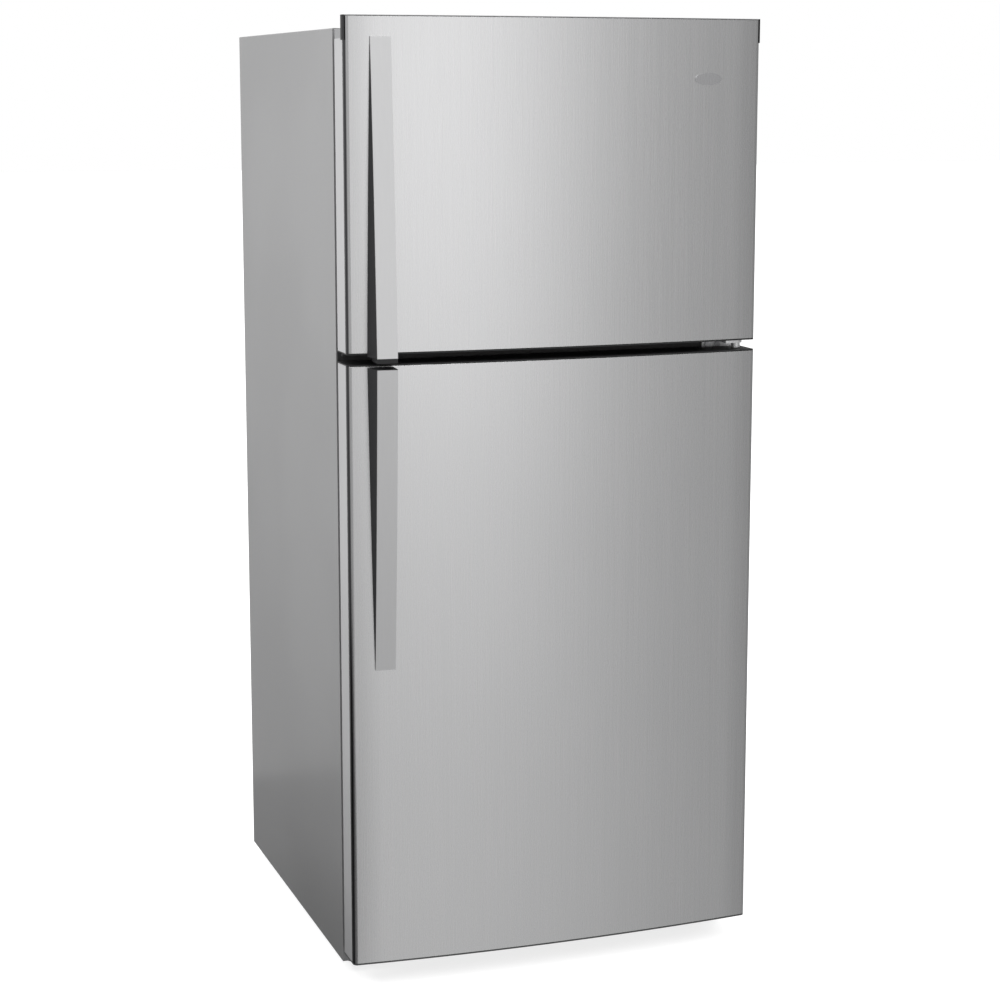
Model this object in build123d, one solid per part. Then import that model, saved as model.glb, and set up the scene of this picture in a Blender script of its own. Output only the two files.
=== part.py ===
from build123d import *
import math
import os

# A two-door refrigerator with the freezer on top. Millimetres, +X right, -Y front, +Z up.
# The origin is under the middle of the whole object, on the floor.

# ---------------------------------------------------------------- driving dimensions
cabinet_width = 748
cabinet_depth = 694
cabinet_bottom = 22
cabinet_top = 1660
sheet = 0.8

door_width = 752
door_gap = 17            # from the cabinet's front to the doors' backs, filled by the gaskets
door_depth = 63          # from a door's back to its front corners
door_bow = 17            # how far the front's middle stands ahead of its corners
panel_sheet = 1.2
panel_return = 12        # how far the steel front wraps round the door's sides
corner_radius = 8
ear_proud = 2            # the freezer door's corner ears stand out this far at each side

fridge_door_z = (44, 1102)
freezer_door_z = (1119, 1658)
freezer_lip_top = 1680   # the freezer door's front rises past its body and hides the hinge

strap_width = 35
strap_x = -316
strap_sheet = 3
strap_reach = 40         # the strap's face ahead of the door, at its end beside the door gap
strap_bulge = 3          # the strap's curve between its ends
freezer_strap_z = (1116, 1645)
fridge_strap_z = (1097, 574)

hinge_inset = 22         # hinge axis from the doors' right edge
hinge_ahead = 30         # hinge axis ahead of the doors' back
pin_radius = 4
running_fit = 0.05       # radial clearance of a pin in its bore

wall = 2                 # moulded liners
liner_half = 330
freezer_liner_z = (1146, 1615)
fridge_liner_z = (113, 1076)
insulation_back = 55
machine_depth = 220
machine_top = 285
foam_bottom = 76
step_wall = 40           # insulation between the machine compartment and the fridge's step
shelf_front = 120        # shelves start this far behind the cabinet's front

# ---------------------------------------------------------------- derived places
door_half = door_width / 2
bow_radius = (door_half**2 + door_bow**2) / (2 * door_bow)


def bow_drop(x):
    """How far the doors' front at x lies behind its middle."""
    return bow_radius - math.sqrt(bow_radius**2 - x**2)


tilt = math.asin(strap_x / bow_radius)
strap_tilt = math.degrees(tilt)
strap_front = strap_reach * math.cos(tilt) + strap_width / 2 * math.sin(abs(tilt))
overall_depth = cabinet_depth + door_gap + door_depth + door_bow - bow_drop(strap_x) + strap_front
cabinet_back = overall_depth / 2
cabinet_front = cabinet_back - cabinet_depth
door_back = cabinet_front - door_gap
door_corner = door_back - door_depth
door_crest = door_corner - door_bow
hinge_x = door_half - hinge_inset
hinge_y = door_back - hinge_ahead
cabinet_half = cabinet_width / 2
rear_sheet_y = (cabinet_back - sheet - 1.2, cabinet_back - sheet)
liner_back = cabinet_back - insulation_back
machine_front = cabinet_back - machine_depth
step_front = machine_front - step_wall
step_top = machine_top + step_wall
shelf_y = (cabinet_front + shelf_front, cabinet_front + shelf_front + 440)

# ---------------------------------------------------------------- cabinet interior
freezer_shelf_z = 1380
evaporator_cover_y = (liner_back - wall - 73, liner_back - wall - 70)
crisper_cover_z = 347
upper_shelf_z = 800
lower_shelf_z = 575
shelf_levels = [
    (upper_shelf_z, shelf_y),
    (lower_shelf_z, shelf_y),
    (crisper_cover_z, (shelf_y[0], step_front - wall - 3)),
]
shelf_half = liner_half - wall - 3
trim_width = 15
pane_inset = 8
pane_z = (4, 8)
crisper_y = (cabinet_front + 155, step_front - wall - 4)
crisper_z = (118, 336)
housing_y = (cabinet_front + 150, cabinet_front + 400)
housing_z = (1016, fridge_liner_z[1] - wall)
knob_z = 1045
knob_x = 95
evaporator_fan_place = (0, 1512)

# ---------------------------------------------------------------- base and machinery
pan_z = (24, 25.5)
foot_places = [(-335, cabinet_front + 60), (335, cabinet_front + 60)]
roller_radius = 18
roller_width = 20
roller_axle = 4
roller_places = [(-338, cabinet_back - 70), (338, cabinet_back - 70)]
bracket_gap = roller_width / 2 + 1.5
compressor_place = (215, cabinet_back - 112)
foot_plate_z = (41.5, 44)
mount_offsets = [(dx, dy) for dx in (-95, 95) for dy in (-62, 62)]
fan_x = 5
fan_place = (cabinet_back - 115, 140)

# ---------------------------------------------------------------- doors, hinges and handles
cap_flange = 2
cap_plug = 16
plug_inset = 1.5         # the caps' plugs pass inside the steel front and the side sheets
lip_flange = 1.2         # the freezer cap's thin edge over the raised front
ear_reach = 15           # how far the ears run back along the door's sides
ear_height = 41
gasket_x = (-368, 352)   # nearer the edge at the handles than at the hinges
rim_reach = 34
rim_width = 16
rim_x = (-312, 312)
bin_x = (rim_x[0] + rim_width, rim_x[1] - rim_width)
freezer_bin_spots = [(1182, 92, 96), (1404, 92, 96)]
fridge_bin_spots = [(352, 118, 104), (592, 104, 104)]
dairy_z = (862, 985)
dairy_x = (-220, 220)
dairy_reach = 70
flap_pin = 3
flap_axis_y = door_back + dairy_reach - 8
flap_axis_z = dairy_z[1] - 18
top_screws = [(315, cabinet_front + 20), (315, cabinet_front + 50), (352, cabinet_front + 50)]
center_screws = [(318, 1104), (338, 1104)]
bottom_screws = [(340, 52), (340, 68)]
strap_off = 0.5          # the strap's flush end stays this far off the door's face
grip_blade = 8           # the dark blade's thickness behind the strap's left edge
grip_flare = 0.24        # how much the blade widens towards the door, per depth
pad_length = 130
badge_place = (275, 1577)


# ---------------------------------------------------------------- helpers
def block(x, y, z):
    """A box between the given ends on each axis."""
    sizes = [abs(end[1] - end[0]) for end in (x, y, z)]
    return Pos(sum(x) / 2, sum(y) / 2, sum(z) / 2) * Box(*sizes)


def rod_x(radius, x, y, z):
    return Pos(sum(x) / 2, y, z) * Rot(0, 90, 0) * Cylinder(radius, abs(x[1] - x[0]))


def rod_y(radius, x, y, z):
    return Pos(x, sum(y) / 2, z) * Rot(90, 0, 0) * Cylinder(radius, abs(y[1] - y[0]))


def rod_z(radius, x, y, z):
    return Pos(x, y, sum(z) / 2) * Cylinder(radius, abs(z[1] - z[0]))


def prism_x(points, x):
    """A side outline of (y, z) points, extruded along X."""
    face = make_face(Polyline([(0, y, z) for y, z in points], close=True))
    return Pos(x[0], 0, 0) * extrude(face, x[1] - x[0], dir=(1, 0, 0))


def open_box(x, y, z, thickness):
    """A tray with a floor and four walls."""
    inner_x = (x[0] + thickness, x[1] - thickness)
    inner_y = (y[0] + thickness, y[1] - thickness)
    return block(x, y, z) - block(inner_x, inner_y, (z[0] + thickness, z[1] + 1))


def ring(x, z, y, width):
    """A flat rectangular ring that faces the front."""
    inner_x = (x[0] + width, x[1] - width)
    inner_z = (z[0] + width, z[1] - width)
    return block(x, y, z) - block(inner_x, (y[0] - 1, y[1] + 1), inner_z)


def group(solids):
    """Separate solids that share one node."""
    return Compound(children=[s if isinstance(s, Solid) else s.solid() for s in solids])


def save(name, shape):
    export_step(shape, f"parts/{name}.step")


# ---------------------------------------------------------------- cabinet shell
def cabinet_wrapper():
    half = cabinet_half
    outer = block((-half, half), (cabinet_front, cabinet_back), (cabinet_bottom, cabinet_top))
    top_edges = outer.edges().filter_by(Axis.Y).sort_by(Axis.Z)[-2:]
    outer = fillet(top_edges, 1.5)
    inner = block(
        (-half + sheet, half - sheet),
        (cabinet_front + sheet, cabinet_back - sheet),
        (cabinet_bottom - 1, cabinet_top - sheet),
    )
    doorway = block(
        (-liner_half, liner_half),
        (cabinet_front - 1, cabinet_front + 2),
        (fridge_liner_z[0], freezer_liner_z[1]),
    )
    air_slot = block(
        (-liner_half, liner_half), (cabinet_front - 1, cabinet_front + 2), (cabinet_bottom - 1, 75)
    )
    rear = 14
    rear_way = block(
        (-half + rear, half - rear),
        (cabinet_back - 2, cabinet_back + 1),
        (cabinet_bottom - 1, cabinet_top - rear),
    )
    return outer - inner - doorway - air_slot - rear_way


def rear_panel():
    half = cabinet_half - sheet
    panel = block((-half, half), rear_sheet_y, (machine_top, cabinet_top - sheet))
    for x in (-180, 180):
        panel -= block((x - 3, x + 3), (cabinet_back - 5, rear_sheet_y[0] + 0.5), (400, 1560))
    return panel


def freezer_form(inset):
    form = block(
        (-liner_half + inset, liner_half - inset),
        (cabinet_front - inset * 5, liner_back - inset),
        (freezer_liner_z[0] + inset, freezer_liner_z[1] - inset),
    )
    return fillet(form.edges().filter_by(Axis.Y), 14 - inset)


def fridge_form(inset):
    front = cabinet_front - inset * 5
    low, high = fridge_liner_z[0] + inset, fridge_liner_z[1] - inset
    step_y, step_z = step_front - inset, step_top + inset
    outline = [
        (front, low),
        (step_y, low),
        (step_y, step_z),
        (liner_back - inset, step_z),
        (liner_back - inset, high),
        (front, high),
    ]
    form = prism_x(outline, (-liner_half + inset, liner_half - inset))
    long_edges = form.edges().filter_by(Axis.Y).filter_by(lambda e: e.length > 300)
    return fillet(long_edges, 14 - inset)


def side_ledges(z, y, reach=10):
    """A pair of ledges on the liner's side walls for a shelf to rest on."""
    inner = liner_half - wall
    return [
        block((-inner, -inner + reach), y, (z - 8, z)),
        block((inner - reach, inner), y, (z - 8, z)),
    ]


def freezer_liner():
    liner = freezer_form(0) - freezer_form(wall)
    ledge_y = (shelf_y[0] + 20, evaporator_cover_y[0] - 10)
    for ledge in side_ledges(freezer_shelf_z, ledge_y):
        liner += ledge
    return liner


def fridge_liner():
    liner = fridge_form(0) - fridge_form(wall)
    for z in (upper_shelf_z, lower_shelf_z):
        for ledge in side_ledges(z, (shelf_y[0] + 10, shelf_y[1] - 10)):
            liner += ledge
    for ledge in side_ledges(crisper_cover_z, (shelf_y[0] + 10, step_front - 10)):
        liner += ledge
    return liner


def mullion_rail():
    """The dark rail between the two doorways, with its face strip between the gaskets."""
    low, high = fridge_liner_z[1], freezer_liner_z[0]
    channel = block((-liner_half, liner_half), (cabinet_front, cabinet_front + 18), (low, high))
    hollow = block(
        (-liner_half - 1, liner_half + 1),
        (cabinet_front + 1.2, cabinet_front + 19),
        (low + 1.2, high - 1.2),
    )
    face = block((-372, 306), (cabinet_front - 1.5, cabinet_front), (1098, 1124))
    return channel - hollow + face


def cabinet_insulation():
    half = cabinet_half - sheet
    foam = block(
        (-half, half), (cabinet_front + sheet, rear_sheet_y[0]), (foam_bottom, cabinet_top - sheet)
    )
    foam -= freezer_form(0)
    foam -= fridge_form(0)
    foam -= block((-half, half), (machine_front, cabinet_back), (0, machine_top))
    foam -= block(
        (-liner_half, liner_half),
        (cabinet_front, cabinet_front + 18),
        (fridge_liner_z[1], freezer_liner_z[0]),
    )
    return foam


# ---------------------------------------------------------------- base and running gear


def base_pan():
    half = cabinet_half - sheet
    pan = block((-half, half), (cabinet_front + 12, cabinet_back - 3), pan_z)
    for side in (-1, 1):
        edge = (side * half, side * (half - 1.5))
        pan += block(edge, (cabinet_front + 12, cabinet_back - 3), (pan_z[0], 48))
    for x, y in foot_places:
        pan += block((x - 16, x + 16), (y - 16, y + 16), (pan_z[0], 38))
        pan -= rod_z(5 + running_fit, x, y, (pan_z[0] - 1, 40))
    for x, y in roller_places:
        pan -= block((x - bracket_gap, x + bracket_gap), (y - 24, y + 24), (pan_z[0] - 1, 40))
        for side in (-1, 1):
            near, far = x + side * bracket_gap, x + side * (bracket_gap + 2)
            pan += block((near, far), (y - 16, y + 16), (8, 40))
        bore = (x - bracket_gap - 3, x + bracket_gap + 3)
        pan -= rod_x(roller_axle, bore, y, roller_radius)
    return pan


def roller_axles():
    reach = bracket_gap + 3.5
    return group([rod_x(roller_axle, (x - reach, x + reach), y, roller_radius) for x, y in roller_places])


def rear_roller(place):
    x, y = place
    half = roller_width / 2
    tyre = rod_x(roller_radius, (x - half, x + half), y, roller_radius)
    tyre = chamfer(tyre.edges().filter_by(GeomType.CIRCLE), 1.5)
    for side in (-1, 1):
        end = x + side * half
        tyre -= rod_x(13, (end - side * 3, end + side), y, roller_radius)
    tyre += rod_x(7, (x - half, x + half), y, roller_radius)
    return tyre - rod_x(roller_axle + running_fit, (x - half - 1, x + half + 1), y, roller_radius)


def front_foot(place):
    x, y = place
    foot = rod_z(17, x, y, (0, 9))
    foot = chamfer(foot.edges().sort_by(Axis.Z)[-1:], 2.5)
    collar = Pos(x, y, 14) * extrude(RegularPolygon(9, 6), 4)
    foot += rod_z(6.5, x, y, (8, 15)) + collar
    return foot + rod_z(5, x, y, (9, 52))


def base_grille():
    z = (14, 74)
    y = (cabinet_front - 4, cabinet_front + 8)
    face = block((-liner_half + 1, liner_half - 1), y, z)
    back = block((-liner_half + 3, liner_half - 3), (y[0] + 3, y[1] + 1), (z[0] + 3, z[1] - 3))
    face -= back
    for row in range(4):
        low = z[0] + 9 + row * 12
        for column in range(-4, 5):
            middle = column * 70
            face -= block((middle - 30, middle + 30), (y[0] - 1, y[0] + 4), (low, low + 6))
    return face


# ---------------------------------------------------------------- machine compartment


def compressor():
    x, y = compressor_place
    can = rod_z(82, x, y, (48, 208))
    can = fillet(can.edges().filter_by(GeomType.CIRCLE), 34)
    can += rod_z(86.5, x, y, (132, 138))
    plate = block((x - 108, x + 108), (y - 74, y + 74), foot_plate_z)
    plate = fillet(plate.edges().filter_by(Axis.Z), 14)
    can += plate + rod_z(46, x, y, (44, 56))
    can += rod_z(4, x - 60, y - 40, (150, 232))
    can += rod_z(5, x - 60, y + 40, (150, 240))
    can += rod_x(3.2, (x - 118, x - 60), y, 110)
    can += block((x - 30, x + 30), (y + 60, y + 100), (95, 165))
    for dx, dy in mount_offsets:
        can -= rod_z(5, x + dx, y + dy, (40, 46))
    return can


def compressor_mounts():
    x, y = compressor_place
    mounts = []
    for dx, dy in mount_offsets:
        grommet = rod_z(12, x + dx, y + dy, (pan_z[1], foot_plate_z[0]))
        grommet += rod_z(4.8, x + dx, y + dy, (foot_plate_z[0], foot_plate_z[1] + 4))
        mounts.append(grommet + rod_z(8, x + dx, y + dy, (foot_plate_z[1], foot_plate_z[1] + 4)))
    return group(mounts)


def condenser_coil():
    """One tube wound to and fro in upright rows, side by side from front to back."""
    pitch = 26
    rows, columns = 6, 6
    x = (-312, -72)
    low = 72
    first_y = cabinet_back - 195
    points = []
    for column in range(columns):
        y = first_y + column * pitch
        levels = range(rows) if column % 2 == 0 else reversed(range(rows))
        for step, row in enumerate(levels):
            ends = x if (column * rows + step) % 2 == 0 else x[::-1]
            points += [(ends[0], y, low + row * pitch), (ends[1], y, low + row * pitch)]
    path = FilletPolyline(*points, radius=pitch * 0.45)
    section = Plane(path @ 0, z_dir=path % 0) * Circle(3.2)
    return sweep(section, path)


def condenser_fan_bracket():
    """An upright plate with the fan's mouth, and the motor on a three-armed spider behind it."""
    y, z = fan_place
    plate = block((fan_x - 12, fan_x - 10), (machine_front + 8, cabinet_back - 6), (pan_z[1], 262))
    plate -= rod_x(78, (fan_x - 14, fan_x - 8), y, z)
    plate += rod_x(82, (fan_x - 12, fan_x + 12), y, z) - rod_x(79, (fan_x - 13, fan_x + 13), y, z)
    plate += rod_x(26, (fan_x + 22, fan_x + 66), y, z)
    for turn in (90, 210, 330):
        arm = Pos(fan_x + 24, y, z) * Rot(turn, 0, 0) * Pos(0, 52, 0) * Box(4, 60, 10)
        plate += arm
        post = Pos(fan_x + 18, y, z) * Rot(turn, 0, 0) * Pos(0, 80.5, 0) * Box(16, 3, 10)
        plate += post
    return plate + rod_x(3, (fan_x - 8, fan_x + 22), y, z)


def fan_rotor(hub_radius, tip_radius, depth, blades):
    """A rotor about the X axis at the origin: a hub with pitched blades and a bore."""
    rotor = rod_x(hub_radius, (-depth / 2, depth / 2), 0, 0)
    length = tip_radius - hub_radius + 4
    for n in range(blades):
        blade = Pos(0, hub_radius + length / 2 - 4, 0) * Rot(0, 32, 0) * Box(1.8, length, depth * 1.9)
        rotor += Rot(n * 360 / blades, 0, 0) * blade
    return rotor - rod_x(3 + running_fit, (-depth, depth), 0, 0)


def condenser_fan():
    y, z = fan_place
    return Pos(fan_x + 4, y, z) * fan_rotor(22, 72, 16, 5)


def drain_pan():
    pan = open_box((-318, -30), (machine_front + 10, cabinet_back - 12), (28, 58), 2)
    return fillet(pan.edges().filter_by(Axis.Z).filter_by(lambda e: e.length > 29.5), 1.5)


def machine_compartment_cover():
    half = cabinet_half - sheet - 1
    cover = block((-half, half), rear_sheet_y, (50, machine_top - 1))
    pressed_y = (cabinet_back - 6, rear_sheet_y[0] + 0.4)
    cover -= block((-half + 40, half - 40), pressed_y, (66, machine_top - 14))
    for row in range(7):
        low = 88 + row * 26
        for start in (-300, -165, -30, 105, 240):
            cover -= block((start, start + 70), (cabinet_back - 6, cabinet_back), (low, low + 7))
    return cover


# ---------------------------------------------------------------- freezer compartment
def evaporator_coil():
    """A finned coil: upright fins on to-and-fro tubes, behind the freezer's back cover."""
    coil_y = (evaporator_cover_y[1] + 12, liner_back - wall - 12)
    tube_y = (coil_y[0] + 11, coil_y[1] - 11)
    fin_z = (1168, 1340)
    levels = [fin_z[0] + 16 + n * 28 for n in range(6)]
    coil = block((-262, -260.5), coil_y, fin_z)
    for n in range(1, 21):
        x = -262 + n * 26.1
        coil += block((x, x + 1.5), coil_y, fin_z)
    for level in levels:
        for y in tube_y:
            coil += rod_x(4, (-276, 276), y, level)
    for n, level in enumerate(levels):
        end = 272 if n % 2 == 0 else -272
        coil += block((end - 5, end + 5), (tube_y[0] - 5, tube_y[1] + 5), (level - 5, level + 5))
    for n in range(len(levels) - 1):
        end = -272 if n % 2 == 0 else 272
        y = tube_y[n % 2]
        coil += block((end - 5, end + 5), (y - 5, y + 5), (levels[n] - 5, levels[n + 1] + 5))
    return coil


def evaporator_cover():
    half = liner_half - wall - 1
    x, z = evaporator_fan_place
    inset = wall + 14
    height = (freezer_liner_z[0] + inset, freezer_liner_z[1] - inset)
    cover = block((-half, half), evaporator_cover_y, height)
    front = evaporator_cover_y[0]
    for row in range(-4, 5):
        reach = math.sqrt(62**2 - (row * 13) ** 2) - 3
        level = z + row * 13
        cover -= block((x - reach, x + reach), (front - 1, front + 5), (level - 3.5, level + 3.5))
    for start in (-250, -90, 70):
        for row in range(3):
            low = freezer_liner_z[0] + 26 + row * 14
            cover -= block((start, start + 180 - 20), (front - 1, front + 5), (low, low + 6))
    return cover


def evaporator_fan_motor():
    x, z = evaporator_fan_place
    back = liner_back - wall
    motor = rod_y(28, x, (back - 34, back), z)
    for dx in (-1, 1):
        motor += block((x + dx * 20, x + dx * 60), (back - 4, back), (z - 9, z + 9))
    return motor + rod_y(3, x, (back - 56, back - 30), z)


def evaporator_fan():
    x, z = evaporator_fan_place
    middle = liner_back - wall - 47
    return Pos(x, middle, z) * Rot(0, 0, 90) * fan_rotor(18, 54, 12, 4)


def freezer_shelf():
    """A welded wire shelf: two long bars under a row of thin wires, in a round-bar frame."""
    y = (shelf_y[0], evaporator_cover_y[0] - 6)
    half = liner_half - wall - 3
    z = freezer_shelf_z + 3
    shelf = rod_x(3, (-half, half), y[0] + 3, z)
    shelf += rod_x(3, (-half, half), y[1] - 3, z)
    for side in (-1, 1):
        shelf += rod_y(3, side * (half - 3), y, z)
    shelf += rod_x(2.5, (-half, half), (y[0] + y[1]) / 2, z)
    for n in range(-14, 15):
        shelf += rod_y(1.5, n * 21.5, (y[0] + 3, y[1] - 3), z + 3)
    return shelf


# ---------------------------------------------------------------- fridge compartment


def control_housing():
    housing = block((-190, 190), housing_y, housing_z)
    housing = fillet(housing.edges().filter_by(Axis.Z), 18)
    lower = housing.edges().group_by(Axis.Z)[0]
    housing = chamfer(lower, 5)
    lamp_y = (housing_y[0] + 60, housing_y[1] - 40)
    housing -= block((-92, 92), lamp_y, (housing_z[0] - 1, housing_z[0] + 34))
    for x in (-knob_x, knob_x):
        housing += rod_y(3, x, (housing_y[0] - 14, housing_y[0] + 1), knob_z)
    return housing


def light_lens():
    y = (housing_y[0] + 61, housing_y[1] - 41)
    lens = block((-91, 91), y, (housing_z[0] - 8, housing_z[0] + 16))
    lens = fillet(lens.edges().group_by(Axis.Z)[0], 6)
    return lens - block((-88, 88), (y[0] + 3, y[1] - 3), (housing_z[0] - 5, housing_z[0] + 17))


def control_knob(x):
    """A round skirt with a raised grip bar across it and a pointer notch at its top."""
    face = housing_y[0] - 0.8
    knob = rod_y(22, x, (face - 7, face), knob_z)
    grip = block((x - 4.5, x + 4.5), (face - 19, face - 6), (knob_z - 19, knob_z + 19))
    grip = fillet(grip.edges().filter_by(Axis.Y), 4)
    knob += grip
    knob -= block((x - 0.8, x + 0.8), (face - 20, face - 18), (knob_z + 4, knob_z + 16))
    return knob - rod_y(3 + running_fit, x, (face - 14, face + 1), knob_z)


def shelf_pane(level):
    z, y = level
    return block(
        (-shelf_half + pane_inset, shelf_half - pane_inset),
        (y[0] + pane_inset, y[1] - pane_inset),
        (z + pane_z[0], z + pane_z[1]),
    )


def shelf_frame(level):
    z, y = level
    frame = block((-shelf_half, shelf_half), y, (z, z + 12))
    open_half = shelf_half - trim_width
    frame -= block((-open_half, open_half), (y[0] + trim_width, y[1] - trim_width), (z - 1, z + 13))
    front_edges = frame.edges().filter_by(Axis.X).sort_by(Axis.Y)[:2]
    return fillet(front_edges, 4) - shelf_pane(level)


def crisper(side):
    """A drawer with a taller front, a finger lip along its top and a rim down its sides."""
    inner, outer = 7, shelf_half - 7
    x = (inner, outer) if side > 0 else (-outer, -inner)
    drawer = open_box(x, (crisper_y[0] + 2, crisper_y[1]), (crisper_z[0], crisper_z[1] - 8), 2.5)
    drawer += block(x, (crisper_y[0], crisper_y[0] + 4), crisper_z)
    front, top = crisper_y[0], crisper_z[1]
    lip_x = (x[0] + 30, x[1] - 30)
    lip = block(lip_x, (front - 11, front + 1), (top - 40, top - 36))
    lip += block(lip_x, (front - 11, front - 8), (top - 50, top - 36))
    return drawer + lip


# ---------------------------------------------------------------- hinges
def hinge_nose(z):
    """A flat arm from the cabinet's front to the hinge axis, with a round end."""
    arm = block((hinge_x - 24, hinge_x + 4), (hinge_y, cabinet_front), z)
    tip = rod_z(11, hinge_x, hinge_y, z)
    shoulder = block((hinge_x - 24, hinge_x), (hinge_y - 11, hinge_y), z)
    return arm + tip + shoulder


def top_hinge():
    z = (cabinet_top, cabinet_top + 3)
    plate = block((300, 370), (cabinet_front, cabinet_front + 66), z)
    plate = fillet(plate.edges().filter_by(Axis.Z).sort_by(Axis.Y)[-2:], 8)
    hinge = plate + hinge_nose(z)
    hinge += rod_z(pin_radius, hinge_x, hinge_y, (freezer_door_z[1] - 12, z[1] + 2))
    for x, y in top_screws:
        hinge -= rod_z(3, x, y, (z[0] - 1, z[1] + 1))
    return hinge


def top_hinge_cover():
    x = (294, 373)
    y = (cabinet_front + 2, cabinet_front + 76)
    z = (cabinet_top, cabinet_top + 18)
    cover = block(x, y, z)
    cover = fillet(cover.edges().filter_by(Axis.Z), 5)
    cover = fillet(cover.edges().group_by(Axis.Z)[-1], 3)
    cover -= block((x[0] + 2, x[1] - 2), (y[0] + 2, y[1] - 2), (z[0] - 1, z[1] - 2))
    return cover - block((299, 371), (y[0] - 1, y[0] + 3), (z[0] - 1, z[0] + 4))


def center_hinge():
    z = (freezer_door_z[0] - 7.5, freezer_door_z[0] - 3)
    plate = block((308, 372), (cabinet_front - 3, cabinet_front), (1098, 1124))
    hinge = plate + hinge_nose(z)
    hinge += rod_z(pin_radius, hinge_x, hinge_y, (fridge_door_z[1] - 12, freezer_door_z[0] + 12))
    hinge += rod_z(8, hinge_x, hinge_y, (fridge_door_z[1] + 1, z[0]))
    for x, screw_z in center_screws:
        hinge -= rod_y(3, x, (cabinet_front - 4, cabinet_front + 1), screw_z)
    return hinge


def bottom_hinge():
    z = (fridge_door_z[0] - 6, fridge_door_z[0] - 2)
    plate = block((332, 372), (cabinet_front - 3, cabinet_front), (z[0], 76))
    hinge = plate + hinge_nose(z)
    hinge += rod_z(pin_radius, hinge_x, hinge_y, (z[0], fridge_door_z[0] + 12))
    for x, screw_z in bottom_screws:
        hinge -= rod_y(3, x, (cabinet_front - 4, cabinet_front + 1), screw_z)
    return hinge


def hinge_screws():
    """Hex-head screws: three in the top hinge, two in each of the others."""
    screws = []
    for x, y in top_screws:
        head = Pos(x, y, cabinet_top + 3) * extrude(RegularPolygon(5.5, 6), 4)
        screws.append(head + rod_z(3, x, y, (cabinet_top, cabinet_top + 3)))
    for x, z in center_screws + bottom_screws:
        head = Pos(x, cabinet_front - 3, z) * Rot(90, 0, 0) * extrude(RegularPolygon(5.5, 6), 3)
        screws.append(head + rod_y(3, x, (cabinet_front - 3, cabinet_front), z))
    return group(screws)


# ---------------------------------------------------------------- doors
def door_form(inset, back, z, radius=None):
    """A door's solid outline, bowed at the front, shrunk by inset, from its front to back."""
    half = door_half - inset
    reach = bow_radius - inset
    centre = door_crest + bow_radius
    corner = centre - math.sqrt(reach**2 - half**2)
    sides = Polyline((-half, corner), (-half, back), (half, back), (half, corner))
    front = ThreePointArc((half, corner), (0, centre - reach), (-half, corner))
    form = Pos(0, 0, z[0]) * extrude(make_face(sides + front), z[1] - z[0], dir=(0, 0, 1))
    if radius is None:
        radius = corner_radius - inset
    return fillet(form.edges().filter_by(Axis.Z).sort_by(Axis.Y)[:2], radius)


def door_panel(z):
    """The steel front: a bowed sheet whose edges wrap round to the door's sides."""
    outer = door_form(0, door_corner + panel_return, z)
    ends = outer.edges().filter_by(lambda e: e.center().Y < door_corner + 6).filter_by(Axis.Z, reverse=True)
    outer = chamfer(ends, panel_sheet * 0.8)
    inner_z = (z[0] - 1, z[1] + 1)
    return outer - door_form(panel_sheet, door_corner + panel_return + 1, inner_z)


def door_sides(z, fold_z):
    """The painted side sheets, folded round the door's back between the end caps."""
    outer = door_half - 0.6
    sheets = []
    for side in (-1, 1):
        edge = side * outer
        inside = side * (outer - sheet)
        flank = block((edge, inside), (door_corner + panel_return, door_back), z)
        flank += block((edge, side * (outer - 13)), (door_back - sheet, door_back), fold_z)
        sheets.append(flank)
    return group(sheets)


def door_core(z):
    """Foam between the front, the sides, the caps and the inner liner."""
    return door_form(panel_sheet + 0.4, door_back - wall, z)


def end_cap(z_end, inward):
    """A moulded cap: a thin flange over the steel front's end, and a plug inside the door."""
    flange = door_form(0, door_back, sorted((z_end, z_end + inward * cap_flange)))
    plug = door_form(plug_inset, door_back, sorted((z_end, z_end + inward * cap_plug)))
    return flange + plug


def pin_bore(cap, z):
    return cap - rod_z(pin_radius + running_fit, hinge_x, hinge_y, z)


def freezer_top_cap():
    """The plug, a wall behind the raised front, a flange over its edge and an ear at each corner."""
    body_top = freezer_door_z[1]
    top = freezer_lip_top
    cap = door_form(panel_sheet + 0.1, door_back, (body_top - cap_plug, body_top))
    lip = door_form(panel_sheet + 0.1, door_back, (body_top - 1, top - lip_flange))
    lip += door_form(0, door_back, (top - lip_flange, top))
    lip -= door_form(8.4, door_back + 10, (body_top, top + 1), radius=1)
    lip -= block((-400, 400), (door_corner + panel_return - 2, door_back + 1), (body_top, top + 1))
    ear_z = (top - ear_height, top)
    around = (ear_z[0] - 1, ear_z[1] + 1)
    ears = door_form(-ear_proud, door_corner + ear_reach, ear_z)
    ears -= door_form(0, door_corner + ear_reach + 10, around)
    ears -= block((-door_half + 0.5, door_half - 0.5), (door_crest - 10, door_back), around)
    ears -= block((0, 400), (door_corner + 10, door_back), (body_top, top + 1))
    cap += lip + ears
    for side in (-1, 1):
        across = (side * (door_half - 2), side * (door_half + ear_proud))
        along = (door_corner + panel_return, door_corner + ear_reach)
        cap += block(across, along, (body_top - cap_plug + 2, body_top))
    return pin_bore(cap, (body_top - 14, body_top + 1))


def door_liner(z, margins):
    """The moulded inner face: a flat sheet with a raised rim that enters the doorway."""
    sheet_plate = block((-360, 360), (door_back - wall, door_back), z)
    rim_z = (z[0] + margins[0], z[1] - margins[1])
    rim = ring(rim_x, rim_z, (door_back, door_back + rim_reach), rim_width)
    rim = fillet(rim.edges().filter_by(Axis.Y), 6)
    return sheet_plate + rim


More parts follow.
